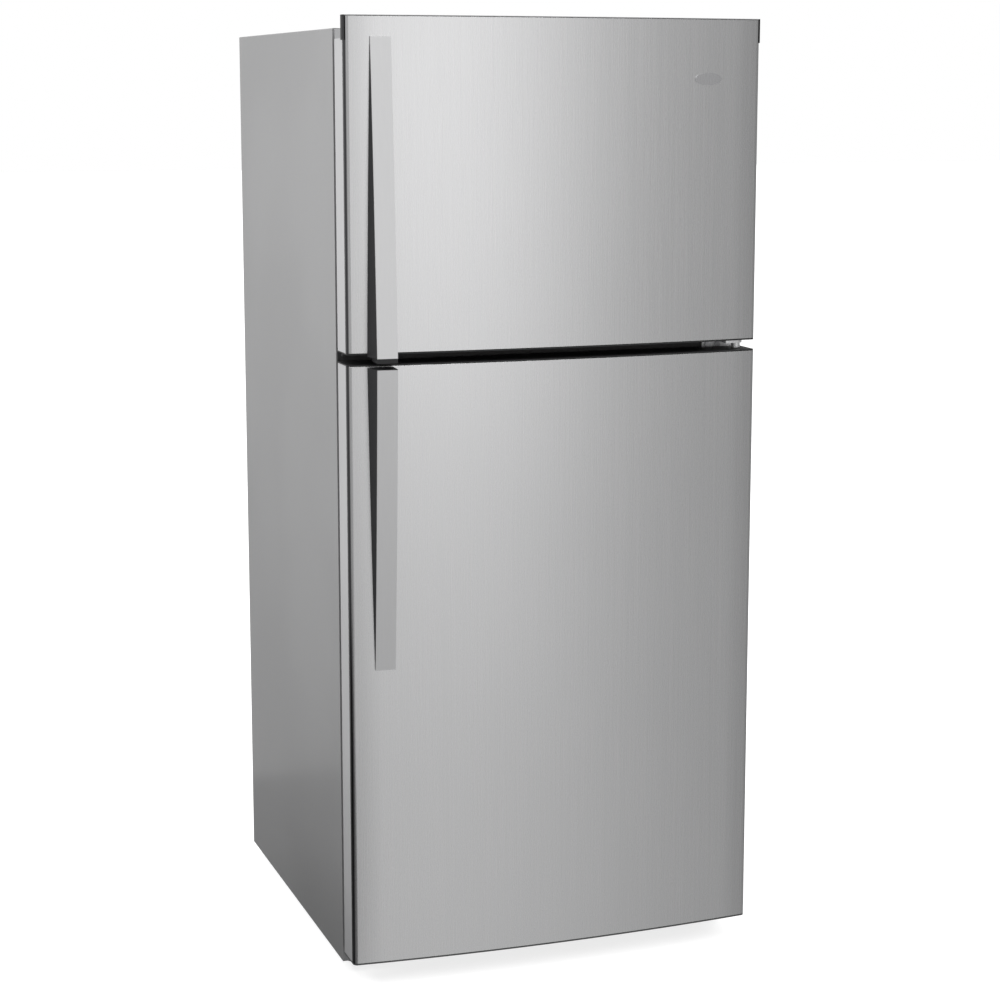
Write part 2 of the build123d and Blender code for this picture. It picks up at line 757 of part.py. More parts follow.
def door_gasket(z):
    """The magnetic seal: a hollow bellows ring on the door's back, just clear of the cabinet."""
    y = (door_back, cabinet_front - 0.5)
    seal = ring(gasket_x, z, y, 18)
    waist_x = (gasket_x[0] - 1, gasket_x[1] + 1)
    waist = ring(waist_x, (z[0] - 1, z[1] + 1), (y[0] + 4, y[0] + 7), 4)
    return seal - waist


def door_bin(z, height, reach):
    """An open-topped bin that spans the rim, with a higher back against the door."""
    x = (bin_x[0] + 0.5, bin_x[1] - 0.5)
    y = (door_back + 0.5, door_back + reach)
    tray = open_box(x, y, (z, z + height), 2.5)
    tray -= block((x[0] + 40, x[1] - 40), (y[1] - 4, y[1] + 1), (z + height - 14, z + height + 1))
    return tray


def dairy_cabin():
    """The dairy box: floor, roof and two ends with pivot holes; its flap closes the front."""
    y = (door_back + 0.5, door_back + dairy_reach)
    cabin = block(dairy_x, y, dairy_z)
    inner_x = (dairy_x[0] + 3, dairy_x[1] - 3)
    cabin -= block(inner_x, (y[0] + 3, y[1] + 1), (dairy_z[0] + 3, dairy_z[1] - 3))
    for side in (-1, 1):
        pivot = (side * (dairy_x[1] - 4), side * (dairy_x[1] + 1))
        cabin -= rod_x(flap_pin + running_fit, pivot, flap_axis_y, flap_axis_z)
    return cabin


def dairy_flap():
    """A clear flap hung on two stub pins near its top, with a finger bead at its foot."""
    y = door_back + dairy_reach
    x = (dairy_x[0] + 3.6, dairy_x[1] - 3.6)
    flap = block(x, (y + 0.6, y + 3.2), (dairy_z[0] + 1, flap_axis_z + 6))
    flap += rod_x(3, (-60, 60), y + 3, dairy_z[0] + 8)
    for side in (-1, 1):
        inner, outer = side * (x[1] - 3), side * x[1]
        flap += block((inner, outer), (flap_axis_y - 5, y + 1), (flap_axis_z - 5, flap_axis_z + 5))
        flap += rod_x(flap_pin, (inner, side * (dairy_x[1] - 0.2)), flap_axis_y, flap_axis_z)
    return flap


# ---------------------------------------------------------------- handles
# A handle is drawn about its own upright line on the door's face: X across, -Y off the face.


def placed_handle(shape):
    """Turns a handle to face the way the bowed door does there, and puts it on the door."""
    return Pos(strap_x, door_crest + bow_drop(strap_x), 0) * Rot(0, 0, strap_tilt) * shape


def strap_curve(z, depth):
    """The strap's line in side view, depth behind its outer face.

    z holds the free end beside the door gap first and the flush end last."""
    near = depth - strap_reach
    flush = depth - strap_sheet - strap_off
    middle = (near + flush) / 2 - strap_bulge
    return ThreePointArc((0, near, z[0]), (0, middle, (z[0] + z[1]) / 2), (0, flush, z[1]))


def handle_strap(z):
    """The curved steel strap, whose flush end lies along the door's face."""
    front = strap_curve(z, 0)
    back = strap_curve(z, strap_sheet)
    outline = front + Line(front @ 1, back @ 1) + back + Line(back @ 0, front @ 0)
    strap = extrude(make_face(outline), strap_width / 2, dir=(1, 0, 0), both=True)
    return placed_handle(strap)


def handle_body(z, cap_length):
    """The dark grip behind the strap: a blade at its left that flares at the door, a pad under
    its flush end, and a plate and cap that close its free end."""
    half = strap_width / 2
    sunk = 5
    toward = 1 if z[1] > z[0] else -1
    arc = strap_curve(z, strap_sheet)
    sections = []
    for n in range(9):
        spot = arc @ (n / 8 * 0.97)
        flare = grip_flare * (4 - spot.Y)
        corners = [
            (-half - flare, 4, spot.Z),
            (-half + grip_blade, 4, spot.Z),
            (-half + grip_blade, spot.Y, spot.Z),
            (-half, spot.Y, spot.Z),
        ]
        sections.append(make_face(Polyline(corners, close=True)))
    blade = loft(sections, ruled=True)
    low, high = (0, sunk, z[0]), (0, sunk, z[1])
    under = arc + Line(arc @ 1, high) + Line(high, low) + Line(low, arc @ 0)
    filler = extrude(make_face(under), half, dir=(1, 0, 0), both=True)
    pad_z = sorted((z[1] - toward * pad_length, z[1] - toward * 12))
    pad = filler & block((-half, half), (-60, sunk + 1), pad_z)
    plate_z = sorted((z[0], z[0] + toward * 6))
    plate = filler & block((-half, half), (-60, sunk + 1), plate_z)
    cap_z = sorted((z[0], z[0] - toward * cap_length))
    cap = block((-half, half), (-strap_reach, sunk), cap_z)
    body = placed_handle(blade + pad + plate + cap)
    return body - door_form(0, door_back, (min(z) - 20, max(z) + 20))


def badge():
    """A small blank oval plate near the freezer door's upper right corner."""
    x, z = badge_place
    plate = Pos(x, door_crest + bow_drop(x), z) * Rot(90, 0, 0) * extrude(Ellipse(26, 10), 6, both=True)
    near = door_form(-1.2, door_back, (z - 20, z + 20))
    plate = plate & near
    return plate - door_form(0, door_back, (z - 20, z + 20))


# ---------------------------------------------------------------- write the parts
def save_cabinet():
    save("cabinet_wrapper", cabinet_wrapper())
    save("rear_panel", rear_panel())
    save("cabinet_insulation", cabinet_insulation())
    save("freezer_liner", freezer_liner())
    save("fridge_liner", fridge_liner())
    save("mullion_rail", mullion_rail())
    save("base_pan", base_pan())
    save("base_grille", base_grille())
    save("roller_axles", roller_axles())
    for side, foot, roller in zip(("left", "right"), foot_places, roller_places):
        save(f"front_foot_{side}", front_foot(foot))
        save(f"rear_roller_{side}", rear_roller(roller))


def save_machinery():
    save("compressor", compressor())
    save("compressor_mounts", compressor_mounts())
    save("condenser_coil", condenser_coil())
    save("condenser_fan_bracket", condenser_fan_bracket())
    save("condenser_fan", condenser_fan())
    save("drain_pan", drain_pan())
    save("machine_compartment_cover", machine_compartment_cover())
    save("evaporator_coil", evaporator_coil())
    save("evaporator_cover", evaporator_cover())
    save("evaporator_fan_motor", evaporator_fan_motor())
    save("evaporator_fan", evaporator_fan())


def save_interior():
    save("freezer_shelf", freezer_shelf())
    save("control_housing", control_housing())
    save("light_lens", light_lens())
    save("freezer_control_knob", control_knob(-knob_x))
    save("fridge_control_knob", control_knob(knob_x))
    save("shelf_glass", group([shelf_pane(level) for level in shelf_levels]))
    save("shelf_frames", group([shelf_frame(level) for level in shelf_levels]))
    save("crisper_left", crisper(-1))
    save("crisper_right", crisper(1))


def save_hinges():
    save("top_hinge", top_hinge())
    save("top_hinge_cover", top_hinge_cover())
    save("center_hinge", center_hinge())
    save("bottom_hinge", bottom_hinge())
    save("hinge_screws", hinge_screws())


def save_freezer_door():
    low, high = freezer_door_z
    between = (low + cap_plug, high - cap_plug)
    bore = (low - 1, low + 14)
    save("freezer_door_panel", door_panel((low + cap_flange, freezer_lip_top - lip_flange)))
    save("freezer_door_sides", door_sides((low + cap_flange, high - cap_plug), between))
    save("freezer_door_foam", door_core(between))
    save("freezer_door_top_cap", freezer_top_cap())
    save("freezer_door_bottom_cap", pin_bore(end_cap(low, 1), bore))
    save("freezer_door_liner", door_liner(between, (24, 40)))
    save("freezer_door_gasket", door_gasket((1126, 1650)))
    save("freezer_door_bins", group([door_bin(*spot) for spot in freezer_bin_spots]))
    save("freezer_handle_strap", handle_strap(freezer_strap_z))
    save("freezer_handle_body", handle_body(freezer_strap_z, 8))
    save("badge", badge())


def save_fridge_door():
    low, high = fridge_door_z
    between = (low + cap_plug, high - cap_plug)
    lower_bore, upper_bore = (low - 1, low + 14), (high - 14, high + 1)
    save("fridge_door_panel", door_panel((low + cap_flange, high - cap_flange)))
    save("fridge_door_sides", door_sides((low + cap_flange, high - cap_flange), between))
    save("fridge_door_foam", door_core(between))
    save("fridge_door_top_cap", pin_bore(end_cap(high, -1), upper_bore))
    save("fridge_door_bottom_cap", pin_bore(end_cap(low, 1), lower_bore))
    liner_z = (between[0], between[1] - 2)  # the gasket covers the slot that this leaves
    save("fridge_door_liner", door_liner(liner_z, (72, 26)))
    save("fridge_door_gasket", door_gasket((80, 1096)))
    save("fridge_door_bins", group([door_bin(*spot) for spot in fridge_bin_spots] + [dairy_cabin()]))
    save("fridge_handle_strap", handle_strap(fridge_strap_z))
    save("fridge_handle_body", handle_body(fridge_strap_z, 1))
    save("dairy_flap", dairy_flap())


os.makedirs("parts", exist_ok=True)
save_cabinet()
save_machinery()
save_interior()
save_hinges()
save_freezer_door()
save_fridge_door()
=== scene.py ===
"""Looks of a top freezer refrigerator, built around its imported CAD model.

Units are metres, in the model's own frame: +X is the refrigerator's right side as one faces its
doors, the doors face -Y, and the floor is z = 0.
"""
import math

import bpy
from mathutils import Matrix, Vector


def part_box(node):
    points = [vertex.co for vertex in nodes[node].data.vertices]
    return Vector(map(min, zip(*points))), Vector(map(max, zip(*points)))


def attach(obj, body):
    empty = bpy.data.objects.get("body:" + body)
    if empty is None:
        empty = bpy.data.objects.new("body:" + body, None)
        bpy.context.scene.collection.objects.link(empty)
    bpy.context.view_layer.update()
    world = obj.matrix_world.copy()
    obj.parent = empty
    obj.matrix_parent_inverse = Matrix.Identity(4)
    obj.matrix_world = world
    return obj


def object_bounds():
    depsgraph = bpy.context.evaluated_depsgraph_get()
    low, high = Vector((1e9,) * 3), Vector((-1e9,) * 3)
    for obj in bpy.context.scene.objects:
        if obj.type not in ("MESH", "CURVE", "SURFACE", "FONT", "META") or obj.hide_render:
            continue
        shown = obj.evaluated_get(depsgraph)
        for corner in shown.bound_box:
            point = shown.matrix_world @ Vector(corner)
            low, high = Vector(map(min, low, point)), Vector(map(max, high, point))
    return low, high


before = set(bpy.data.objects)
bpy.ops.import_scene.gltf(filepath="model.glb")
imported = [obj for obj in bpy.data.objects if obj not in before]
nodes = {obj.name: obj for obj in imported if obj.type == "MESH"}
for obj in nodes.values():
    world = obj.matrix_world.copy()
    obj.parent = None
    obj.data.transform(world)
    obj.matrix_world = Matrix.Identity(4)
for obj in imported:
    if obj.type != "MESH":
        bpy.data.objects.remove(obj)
cad_low, cad_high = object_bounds()
scene = bpy.context.scene

# ---------------------------------------------------------------- camera
CAMERA_PLACE = (-1.380, -3.998, 1.557)
CAMERA_YAW = 19.33      # degrees to the right of +Y
CAMERA_PITCH = 9.30     # degrees below the horizon
CAMERA_LENS = 81.24     # mm
SENSOR_WIDTH = 36       # mm
CAMERA_SHIFT = -0.040   # upright shift, as a share of the picture's side

# ---------------------------------------------------------------- places on the object that looks need
EDGE_SHADE_X = (0.315, 0.372)    # where shade is painted on a door's steel, darker towards its upright edge
ROLLED_EDGE_SHADE_X = (0.3722, 0.3742)   # where the sheet is rolled back and a dark reflection is painted on it
EAR_X = (0.3750, 0.3754)         # the ears start here, either side of the middle
EAR_Z = (1.6388, 1.6392)         # and above here
STRAP_EDGE = 0.0014              # width of the worn edge on a handle's strap
STRAP_EDGE_ANGLE = 50            # degrees; only sharper edges than this are worn

# ---------------------------------------------------------------- sizes of the added pieces
PLUG_INSET = 0.011               # from the rail's left end to the plug's middle
PLUG_RADIUS = 0.0042
PLUG_HEIGHT = 0.0018
LINER_WALL = 0.002
DUCT_HALF_WIDTH = 0.075
DUCT_DEPTH = 0.014
DUCT_EDGE = 0.006
DUCT_ABOVE_CRISPERS = 0.1
DUCT_BELOW_CONTROLS = 0.02
VENT_GROUPS = 4
VENT_ROWS = 3
VENT_MARGIN = 0.08               # from an end of the duct to the nearest group's middle row
VENT_STEP = 0.012                # from row to row
VENT_X = (0.015, 0.06)
VENT_HALF_HEIGHT = 0.0022
VENT_PROUD = 0.0015
VENT_SUNK = 0.0005
VENT_EDGE = 0.0006

# ---------------------------------------------------------------- colours and the stage
WHITE = (1.0, 1.0, 1.0, 1)
BLACK = (0.0, 0.0, 0.0, 1)
# painted dark reflection on the doors' rolled-back edges
PAINTED_EDGE_DARK = (0.07, 0.07, 0.073, 1)
EAR_BLACK = (0.012, 0.012, 0.013, 1)
LAMP_WHITE = (1.0, 0.97, 0.92, 1)
FLOOR_REACH = 40                 # half the floor's side
FLOOR_GLOW = 0.78                # keeps the floor as pale as the backdrop
CARD_SINK = 0.001                # the fill cards lie this far under the floor
CARD_REACH = 1.6                 # how far a side card reaches from the cabinet, and the left one ahead
CARD_BEHIND = 0.5                # how far the cards reach behind the cabinet
CARD_SETBACK = 0.12              # the right card starts this far behind the handles
FLAG_RECTANGLE = (-0.25, -1.3, 0.25, 0.1)
FLAG_FROM_SIDE = 0.6
FLAG_HEIGHT = 0.26


def make_camera():
    """The camera of the main view, as placed above."""
    data = bpy.data.cameras.new("camera")
    data.lens = CAMERA_LENS
    data.sensor_width = SENSOR_WIDTH
    data.shift_y = CAMERA_SHIFT
    data.clip_start = 0.1
    data.clip_end = 100
    camera = bpy.data.objects.new("camera", data)
    camera.location = CAMERA_PLACE
    camera.rotation_euler = (math.radians(90 - CAMERA_PITCH), 0, math.radians(-CAMERA_YAW))
    scene.collection.objects.link(camera)
    scene.camera = camera


# ---------------------------------------------------------------- small node helpers
class Graph:
    """A node tree with short ways to add and join nodes."""

    def __init__(self, tree):
        self.tree = tree

    def add(self, kind, **values):
        node = self.tree.nodes.new(kind)
        for key, value in values.items():
            setattr(node, key, value)
        return node

    def join(self, source, target):
        self.tree.links.new(source, target)

    def feed(self, socket, value):
        """Joins an output to the socket, or sets the socket's own value."""
        if isinstance(value, bpy.types.NodeSocket):
            self.join(value, socket)
        else:
            socket.default_value = value

    def math(self, operation, first, second=0.0):
        """One sum on outputs or numbers."""
        node = self.add("ShaderNodeMath", operation=operation)
        self.feed(node.inputs[0], first)
        self.feed(node.inputs[1], second)
        return node.outputs[0]

    def axes(self, source=None):
        """The x, y and z of a vector, by default of the object's own coordinates in metres."""
        split = self.add("ShaderNodeSeparateXYZ")
        self.join(self.place() if source is None else source, split.inputs[0])
        return split.outputs

    def remap(self, value, low, high, to_low=0.0, to_high=1.0):
        """Turns low to high into to_low to to_high, with soft ends."""
        node = self.add("ShaderNodeMapRange", interpolation_type="SMOOTHSTEP")
        self.join(value, node.inputs["Value"])
        limits = {"From Min": low, "From Max": high, "To Min": to_low, "To Max": to_high}
        for name, number in limits.items():
            node.inputs[name].default_value = number
        return node.outputs["Result"]

    def mix(self, share, first, second):
        """Colour mix; share, first and second may be outputs or values."""
        node = self.add("ShaderNodeMix", data_type="RGBA")
        factor, colour_a, colour_b, colour_result = 0, 6, 7, 2
        self.feed(node.inputs[factor], share)
        self.feed(node.inputs[colour_a], first)
        self.feed(node.inputs[colour_b], second)
        return node.outputs[colour_result]

    def place(self, scale=(1, 1, 1)):
        """The object's own coordinates, in metres, scaled per axis."""
        source = self.add("ShaderNodeTexCoord").outputs["Object"]
        mapping = self.add("ShaderNodeMapping")
        mapping.inputs["Scale"].default_value = scale
        self.join(source, mapping.inputs["Vector"])
        return mapping.outputs["Vector"]

    def noise(self, scale, detail=2.0, stretch=(1, 1, 1), rough=0.5):
        """Cloudy noise on the object's own coordinates; stretch squeezes it per axis."""
        node = self.add("ShaderNodeTexNoise")
        self.join(self.place(stretch), node.inputs["Vector"])
        node.inputs["Scale"].default_value = scale
        node.inputs["Detail"].default_value = detail
        node.inputs["Roughness"].default_value = rough
        return node.outputs["Fac"]

    def bump(self, height, distance, under=None):
        """A relief of the given depth in metres, on top of another relief if one is given."""
        node = self.add("ShaderNodeBump")
        node.inputs["Distance"].default_value = distance
        self.join(height, node.inputs["Height"])
        if under is not None:
            self.join(under, node.inputs["Normal"])
        return node.outputs["Normal"]


def shades(colour, spread):
    """A darker and a lighter version of a colour, as RGBA."""
    dark = tuple(max(0.0, c * (1 - spread)) for c in colour) + (1.0,)
    light = tuple(min(1.0, c * (1 + spread)) for c in colour) + (1.0,)
    return dark, light


def new_material(name, **constants):
    """A material with a Principled shader; constants go on the shader's own sockets."""
    material = bpy.data.materials.new(name)
    material.use_nodes = True
    graph = Graph(material.node_tree)
    shader = material.node_tree.nodes["Principled BSDF"]
    for socket, value in constants.items():
        shader.inputs[socket.replace("_", " ")].default_value = value
    return material, graph, shader


# ---------------------------------------------------------------- materials
STEEL = (0.62, 0.62, 0.625)


def brushed_steel(name, colour=STEEL, rough=0.34, recolour=None):
    """Stainless steel brushed upright: long fine streaks and slight blotches.

    recolour may be a function that takes the graph and the brushed colour and gives another; the doors
    use it for painted shade at their edges.
    """
    material, g, shader = new_material(name, Metallic=1.0)
    streaks = g.noise(1.0, 3.0, (260, 260, 2.2), 0.6)
    fine = g.noise(1.0, 1.0, (1500, 1500, 9))
    cloud = g.noise(3.2, 2.0)
    dark, light = shades(colour, 0.014)
    tone = g.math("ADD", g.math("MULTIPLY", streaks, 0.6), g.math("MULTIPLY", cloud, 0.4))
    face = g.mix(g.remap(tone, 0.3, 0.7), dark, light)
    g.join(recolour(g, face) if recolour else face, shader.inputs["Base Color"])
    blur = g.math("ADD", g.math("MULTIPLY", streaks, 0.04), g.math("MULTIPLY", fine, 0.04))
    g.join(g.math("ADD", blur, rough - 0.04), shader.inputs["Roughness"])
    relief = g.bump(streaks, 0.00002)
    g.join(g.bump(fine, 0.00002, under=relief), shader.inputs["Normal"])
    return material


def painted_edge_shade(g, face):
    """Painted shade: darkens the steel towards the door's upright edges, most where the sheet is
    rolled back, which gets a painted dark reflection.
    """
    across = g.math("ABSOLUTE", g.axes()["X"])
    deepest_shade = 0.16
    face = g.mix(g.remap(across, *EDGE_SHADE_X, 0.0, deepest_shade), face, BLACK)
    # the rolled-back edge gets a painted dark reflection
    return g.mix(g.remap(across, *ROLLED_EDGE_SHADE_X), face, PAINTED_EDGE_DARK)


def painted(name, colour, rough=0.45, pebble=900, depth=0.00008, spread=0.04, coat=0.0):
    """Enamelled sheet with the fine pebble of sprayed paint."""
    material, g, shader = new_material(name, Specular_IOR_Level=0.45)
    shader.inputs["Coat Weight"].default_value = coat
    shader.inputs["Coat Roughness"].default_value = 0.22
    grain = g.noise(pebble, 2.0)
    cloud = g.noise(2.3, 2.0)
    dark, light = shades(colour, spread)
    g.join(g.mix(g.remap(cloud, 0.35, 0.65), dark, light), shader.inputs["Base Color"])
    g.join(g.remap(grain, 0.3, 0.7, rough - 0.05, rough + 0.05), shader.inputs["Roughness"])
    g.join(g.bump(grain, depth), shader.inputs["Normal"])
    return material


def moulded(name, colour, rough=0.4, grain_size=1400, depth=0.00004, spread=0.05, coat=0.0,
            recolour=None):
    """Injection-moulded plastic: even colour, slight flow marks, fine spark-eroded texture."""
    material, g, shader = new_material(name, Specular_IOR_Level=0.5)
    shader.inputs["Coat Weight"].default_value = coat
    shader.inputs["Coat Roughness"].default_value = 0.12
    grain = g.noise(grain_size, 2.0)
    flow = g.noise(5.0, 3.0, (1, 1, 0.4))
    dark, light = shades(colour, spread)
    face = g.mix(g.remap(flow, 0.3, 0.7), dark, light)
    g.join(recolour(g, face) if recolour else face, shader.inputs["Base Color"])
    g.join(g.remap(flow, 0.3, 0.7, rough - 0.02, rough + 0.02), shader.inputs["Roughness"])
    g.join(g.bump(grain, depth), shader.inputs["Normal"])
    return material


def dark_ears(g, face):
    """The freezer cap's corner ears are dark and the rest of the cap is grey."""
    place = g.axes()
    outside = g.remap(g.math("ABSOLUTE", place["X"]), *EAR_X)
    above = g.remap(place["Z"], *EAR_Z)
    return g.mix(g.math("MULTIPLY", outside, above), face, EAR_BLACK)


def plated(name, colour, rough=0.35, spangle=120, spread=0.12):
    """Galvanised or plated steel with soft crystal spangle."""
    material, g, shader = new_material(name, Metallic=1.0)
    cells = g.add("ShaderNodeTexVoronoi")
    g.join(g.place(), cells.inputs["Vector"])
    cells.inputs["Scale"].default_value = spangle
    scuffs = g.noise(60, 4.0, (1, 3, 1), 0.7)
    dark, light = shades(colour, spread)
    crystals = g.math("MULTIPLY", cells.outputs["Distance"], 0.6)
    tone = g.math("ADD", crystals, g.math("MULTIPLY", scuffs, 0.5))
    g.join(g.mix(g.remap(tone, 0.2, 0.8), dark, light), shader.inputs["Base Color"])
    g.join(g.remap(scuffs, 0.3, 0.7, rough - 0.06, rough + 0.06), shader.inputs["Roughness"])
    g.join(g.bump(scuffs, 0.00004), shader.inputs["Normal"])
    return material


def rubbery(name, colour, rough=0.62):
    """Soft vinyl or rubber with a dusty bloom."""
    material, g, shader = new_material(name, Specular_IOR_Level=0.3)
    shader.inputs["Sheen Weight"].default_value = 0.15
    bloom = g.noise(35, 4.0, rough=0.65)
    dark, light = shades(colour, 0.15)
    g.join(g.mix(g.remap(bloom, 0.3, 0.7), dark, light), shader.inputs["Base Color"])
    g.join(g.remap(bloom, 0.3, 0.7, rough - 0.08, rough + 0.08), shader.inputs["Roughness"])
    g.join(g.bump(g.noise(1100, 2.0), 0.00005), shader.inputs["Normal"])
    return material


def see_through(name, colour, rough=0.05, clear=0.92, refraction=1.49, frost=0.0, glow=0.0):
    """Clear or frosted glass and plastic, with faint scratches and fingerprints."""
    material, g, shader = new_material(name, IOR=refraction, Transmission_Weight=clear)
    shader.inputs["Emission Color"].default_value = LAMP_WHITE
    shader.inputs["Emission Strength"].default_value = glow
    smears = g.noise(22, 4.0, rough=0.6)
    dark, light = shades(colour, 0.015)
    g.join(g.mix(g.remap(smears, 0.3, 0.7), dark, light), shader.inputs["Base Color"])
    g.join(g.remap(smears, 0.4, 0.75, rough, rough + 0.05 + frost), shader.inputs["Roughness"])
    g.join(g.bump(g.noise(300, 3.0, (1, 6, 1)), 0.00001 + frost * 0.0003), shader.inputs["Normal"])
    return material


def foamed(name, colour):
    """Cut polyurethane foam: small open cells."""
    material, g, shader = new_material(name, Roughness=0.9, Specular_IOR_Level=0.2)
    cells = g.add("ShaderNodeTexVoronoi")
    g.join(g.place(), cells.inputs["Vector"])
    cells.inputs["Scale"].default_value = 380
    hollow = cells.outputs["Distance"]
    dark, light = shades(colour, 0.2)
    g.join(g.mix(g.remap(hollow, 0.0, 0.6), dark, light), shader.inputs["Base Color"])
    g.join(g.remap(hollow, 0.0, 0.6, 0.8, 0.95), shader.inputs["Roughness"])
    g.join(g.bump(hollow, 0.0006), shader.inputs["Normal"])
    return material


def make_materials():
    """Every look by its name."""
    makers = [
        # the doors' steel carries painted shade towards its upright edges
        brushed_steel("door_steel", rough=0.27, recolour=painted_edge_shade),
        brushed_steel("strap_steel", (0.60, 0.60, 0.605), rough=0.36),
        brushed_steel("badge_metal", (0.55, 0.55, 0.56), rough=0.28),
        painted("cabinet_paint", (0.235, 0.235, 0.238), rough=0.40, pebble=700, depth=0.00012,
                coat=0.5),
        painted("door_paint", (0.41, 0.41, 0.415), rough=0.38, pebble=1300, depth=0.00003),
        painted("black_paint", (0.025, 0.025, 0.027), rough=0.4, pebble=1100, depth=0.00005,
                spread=0.15),
        painted("compressor_paint", (0.018, 0.018, 0.02), rough=0.28, pebble=500, depth=0.00008,
                spread=0.2),
        plated("zinc", (0.62, 0.62, 0.64)),
        plated("galvanised", (0.56, 0.57, 0.58), rough=0.42, spangle=150, spread=0.06),
        plated("hinge_zinc", (0.88, 0.88, 0.89), rough=0.42, spangle=150, spread=0.05),
        plated("aluminium", (0.78, 0.79, 0.80), rough=0.35, spangle=40, spread=0.06),
        moulded("dark_plastic", (0.03, 0.03, 0.031), rough=0.42),
        moulded("lip_plastic", (0.25, 0.25, 0.255), rough=0.45, recolour=dark_ears),
        # door caps that face the gap: dark plastic, painted near black for the shade in the gap
        moulded("gap_shade_plastic", (0.010, 0.010, 0.011), rough=0.5),
        moulded("foot_plastic", (0.06, 0.06, 0.062), rough=0.45),
        moulded("grip_plastic", (0.008, 0.008, 0.009), rough=0.58),
        moulded("grey_plastic", (0.30, 0.30, 0.31), rough=0.42),
        moulded("liner_white", (0.82, 0.83, 0.83), rough=0.3, grain_size=900, depth=0.00002,
                spread=0.012),
        moulded("part_white", (0.80, 0.80, 0.79), rough=0.36, grain_size=1500, depth=0.00004,
                spread=0.02),
        moulded("trim_white", (0.74, 0.75, 0.76), rough=0.3, grain_size=1500, depth=0.00002,
                spread=0.03),
        moulded("wire_white", (0.84, 0.84, 0.83), rough=0.22, grain_size=500, depth=0.00003,
                spread=0.03, coat=0.5),
        rubbery("gasket", (0.030, 0.030, 0.032)),
        rubbery("rubber", (0.02, 0.02, 0.02), rough=0.7),
        see_through("clear_plastic", (0.95, 0.96, 0.965), rough=0.06, clear=0.9, refraction=1.46),
        see_through("shelf_glass", (0.88, 0.95, 0.92), rough=0.03, clear=0.95, refraction=1.5),
        see_through("lamp_lens", (0.95, 0.95, 0.93), rough=0.3, clear=0.75, refraction=1.46,
                    frost=0.2, glow=3.0),
        foamed("foam", (0.78, 0.66, 0.42)),
    ]
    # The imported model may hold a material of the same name, and then Blender numbers the new one.
    return {material.name.split(".")[0]: material for material in makers}


NODE_LOOKS = {
    "cabinet_wrapper": "cabinet_paint",
    "rear_panel": "galvanised",
    "cabinet_insulation": "foam",
    "freezer_liner": "liner_white",
    "fridge_liner": "liner_white",
    "mullion_rail": "dark_plastic",
    "base_pan": "galvanised",
    "base_grille": "dark_plastic",
    "roller_axles": "zinc",
    "front_foot_left": "grey_plastic",
    "front_foot_right": "grey_plastic",
    "rear_roller_left": "dark_plastic",
    "rear_roller_right": "dark_plastic",
    "compressor": "compressor_paint",
    "compressor_mounts": "rubber",
    "condenser_coil": "black_paint",
    "condenser_fan_bracket": "galvanised",
    "condenser_fan": "dark_plastic",
    "drain_pan": "dark_plastic",
    "machine_compartment_cover": "galvanised",
    "evaporator_coil": "aluminium",
    "evaporator_cover": "part_white",
    "evaporator_fan_motor": "zinc",
    "evaporator_fan": "grey_plastic",
    "freezer_shelf": "wire_white",
    "control_housing": "part_white",
    "light_lens": "lamp_lens",
    "freezer_control_knob": "grey_plastic",
    "fridge_control_knob": "grey_plastic",
    "shelf_glass": "shelf_glass",
    "shelf_frames": "trim_white",
    "crisper_left": "clear_plastic",
    "crisper_right": "clear_plastic",
    "top_hinge": "zinc",
    "top_hinge_cover": "grey_plastic",
    "center_hinge": "hinge_zinc",
    "bottom_hinge": "hinge_zinc",
    "hinge_screws": "zinc",
    "badge": "badge_metal",
    "freezer_door_top_cap": "lip_plastic",
    # these two caps face the gap between the doors and carry its painted shade
    "freezer_door_bottom_cap": "gap_shade_plastic",
    "fridge_door_top_cap": "gap_shade_plastic",
    "fridge_door_bottom_cap": "foot_plastic",
    "dairy_flap": "clear_plastic",
}
DOOR_LOOKS = {
    "door_panel": "door_steel",
    "door_sides": "door_paint",
    "door_foam": "foam",
    "door_liner": "liner_white",
    "door_gasket": "gasket",
    "door_bins": "clear_plastic",
    "handle_strap": "strap_steel",
    "handle_body": "grip_plastic",
}


def dress_nodes(materials):
    """Gives each CAD node its material, and the straps a worn edge that catches the light."""
    looks = dict(NODE_LOOKS)
    for door in ("freezer", "fridge"):
        for part, look in DOOR_LOOKS.items():
            looks[f"{door}_{part}"] = look
    for name, node in nodes.items():
        node.data.materials.clear()
        node.data.materials.append(materials[looks[name]])
    for name in ("freezer_handle_strap", "fridge_handle_strap"):
        soften = nodes[name].modifiers.new("worn edge", "BEVEL")
        soften.width = STRAP_EDGE
        soften.segments = 3
        soften.limit_method = "ANGLE"
        soften.angle_limit = math.radians(STRAP_EDGE_ANGLE)


# ---------------------------------------------------------------- small added pieces
def add_piece(name, shape, material, body):
    """A new piece, from its points and faces, that rides on a body."""
    points, faces = shape
    mesh = bpy.data.meshes.new(name)
    mesh.from_pydata(points, [], faces)
    mesh.update()
    mesh.materials.append(material)
    piece = bpy.data.objects.new(name, mesh)
    scene.collection.objects.link(piece)
    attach(piece, body)
    return piece


def dome(centre, radius, height, rings=5, sides=32):
    """A shallow dome that faces the front (-Y), with a short straight rim at its foot."""
    rim_share = 0.35
    points, faces = [], []
    for ring in range(rings):
        turn = ring / rings * math.pi / 2
        reach = radius * math.cos(turn)
        ahead = height * (rim_share + (1 - rim_share) * math.sin(turn)) if ring else 0.0
        for side in range(sides):
            angle = side / sides * 2 * math.pi
            points.append((centre[0] + reach * math.cos(angle), centre[1] - ahead,
                           centre[2] + reach * math.sin(angle)))
    points.append((centre[0], centre[1] - height, centre[2]))
    for ring in range(rings - 1):
        for side in range(sides):
            a, b = ring * sides + side, ring * sides + (side + 1) % sides
            faces.append((a, b, b + sides, a + sides))
    last = (rings - 1) * sides
    for side in range(sides):
        faces.append((last + side, last + (side + 1) % sides, len(points) - 1))
    faces.append(tuple(reversed(range(sides))))
    return points, faces


